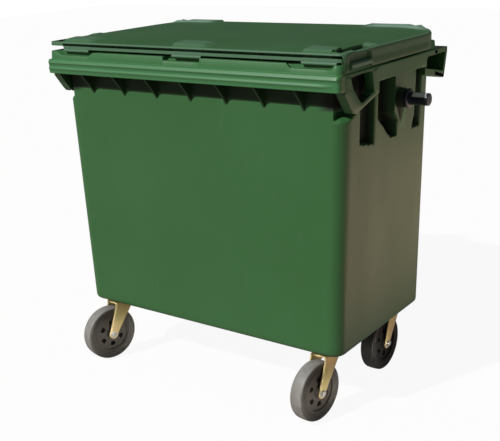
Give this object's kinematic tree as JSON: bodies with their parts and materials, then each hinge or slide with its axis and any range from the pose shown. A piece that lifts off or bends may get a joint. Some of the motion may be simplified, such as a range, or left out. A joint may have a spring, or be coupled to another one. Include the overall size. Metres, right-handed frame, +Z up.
{
  "type": "wheeled waste container",
  "caption": "Wheeled waste container with a tapered tub, a hinged flat lid, side trunnions, handles under the rim and swivel castors.",
  "frame": {"origin": "on the ground, under the middle of the container's box, with the castors as they stand in the picture", "axes": "+X to the right across the width and along the trunnion pins, +Y to the back, where the lid's hinges are, +Z up"},
  "size_m": [1.336, 0.8058, 1.206],
  "materials": {
    "body_green": "satin moulded polyethylene, green",
    "lid_green": "satin moulded polyethylene, green",
    "navy_plastic": "smooth dark blue-black plastic",
    "yellow_zinc": "yellow passivated zinc plate",
    "bright_steel": "bright zinc plate",
    "grey_tyre": "solid dark grey rubber",
    "dark_hub": "dark grey moulded plastic",
    "black_rubber": "matt black rubber"
  },
  "bodies": {
    "container": {"tub": "body_green", "drain_plug": "body_green", "hinge_pin_left": "bright_steel", "hinge_pin_right": "bright_steel", "trunnion_pin_left": "navy_plastic", "trunnion_pin_right": "navy_plastic", "trunnion_flange_left": "navy_plastic", "trunnion_flange_right": "navy_plastic", "trunnion_nut_left": "bright_steel", "trunnion_nut_right": "bright_steel", "lid_buffer_front_left": "black_rubber", "lid_buffer_front_right": "black_rubber", "lid_buffer_rear_left": "black_rubber", "lid_buffer_rear_right": "black_rubber", "castor_plate_front_left": "yellow_zinc", "kingpin_front_left": "bright_steel", "plate_bolt_front_left_1": "bright_steel", "plate_bolt_front_left_2": "bright_steel", "plate_bolt_front_left_3": "bright_steel", "plate_bolt_front_left_4": "bright_steel", "castor_plate_front_right": "yellow_zinc", "kingpin_front_right": "bright_steel", "plate_bolt_front_right_1": "bright_steel", "plate_bolt_front_right_2": "bright_steel", "plate_bolt_front_right_3": "bright_steel", "plate_bolt_front_right_4": "bright_steel", "castor_plate_rear_left": "yellow_zinc", "kingpin_rear_left": "bright_steel", "plate_bolt_rear_left_1": "bright_steel", "plate_bolt_rear_left_2": "bright_steel", "plate_bolt_rear_left_3": "bright_steel", "plate_bolt_rear_left_4": "bright_steel", "castor_plate_rear_right": "yellow_zinc", "kingpin_rear_right": "bright_steel", "plate_bolt_rear_right_1": "bright_steel", "plate_bolt_rear_right_2": "bright_steel", "plate_bolt_rear_right_3": "bright_steel", "plate_bolt_rear_right_4": "bright_steel"},
    "lid": {"lid": "lid_green"},
    "swivel_front_left": {"fork_front_left": "yellow_zinc", "axle_bolt_front_left": "bright_steel", "axle_nut_front_left": "bright_steel"},
    "swivel_front_right": {"fork_front_right": "yellow_zinc", "axle_bolt_front_right": "bright_steel", "axle_nut_front_right": "bright_steel"},
    "swivel_rear_left": {"fork_rear_left": "yellow_zinc", "axle_bolt_rear_left": "bright_steel", "axle_nut_rear_left": "bright_steel"},
    "swivel_rear_right": {"fork_rear_right": "yellow_zinc", "axle_bolt_rear_right": "bright_steel", "axle_nut_rear_right": "bright_steel"},
    "wheel_front_left": {"wheel_hub_front_left": "dark_hub", "tyre_front_left": "grey_tyre"},
    "wheel_front_right": {"wheel_hub_front_right": "dark_hub", "tyre_front_right": "grey_tyre"},
    "wheel_rear_left": {"wheel_hub_rear_left": "dark_hub", "tyre_rear_left": "grey_tyre"},
    "wheel_rear_right": {"wheel_hub_rear_right": "dark_hub", "tyre_rear_right": "grey_tyre"}
  },
  "joints": [
    {"name": "lid_hinge", "type": "hinge", "parent": "container", "child": "lid", "pos_m": [0, 0.38785, 1.165], "axis": [-1, 0, 0], "range_deg": [0, 250]},
    {"name": "turn_front_left", "type": "hinge", "parent": "container", "child": "swivel_front_left", "pos_m": [-0.452, -0.24615, 0.215], "axis": [0, 0, 1], "continuous": true},
    {"name": "turn_front_right", "type": "hinge", "parent": "container", "child": "swivel_front_right", "pos_m": [0.452, -0.24615, 0.215], "axis": [0, 0, 1], "continuous": true},
    {"name": "turn_rear_left", "type": "hinge", "parent": "container", "child": "swivel_rear_left", "pos_m": [-0.452, 0.19185, 0.215], "axis": [0, 0, 1], "continuous": true},
    {"name": "turn_rear_right", "type": "hinge", "parent": "container", "child": "swivel_rear_right", "pos_m": [0.452, 0.19185, 0.215], "axis": [0, 0, 1], "continuous": true},
    {"name": "roll_front_left", "type": "hinge", "parent": "swivel_front_left", "child": "wheel_front_left", "pos_m": [-0.46744, -0.29998, 0.1], "axis": [0.9613, -0.2756, 0], "continuous": true},
    {"name": "roll_front_right", "type": "hinge", "parent": "swivel_front_right", "child": "wheel_front_right", "pos_m": [0.44421, -0.3016, 0.1], "axis": [0.9903, -0.1392, 0], "continuous": true},
    {"name": "roll_rear_left", "type": "hinge", "parent": "swivel_rear_left", "child": "wheel_rear_left", "pos_m": [-0.47298, 0.13993, 0.1], "axis": [0.9272, -0.3746, 0], "continuous": true},
    {"name": "roll_rear_right", "type": "hinge", "parent": "swivel_rear_right", "child": "wheel_rear_right", "pos_m": [0.45102, 0.13586, 0.1], "axis": [0.9998, -0.0175, 0], "continuous": true}
  ]
}
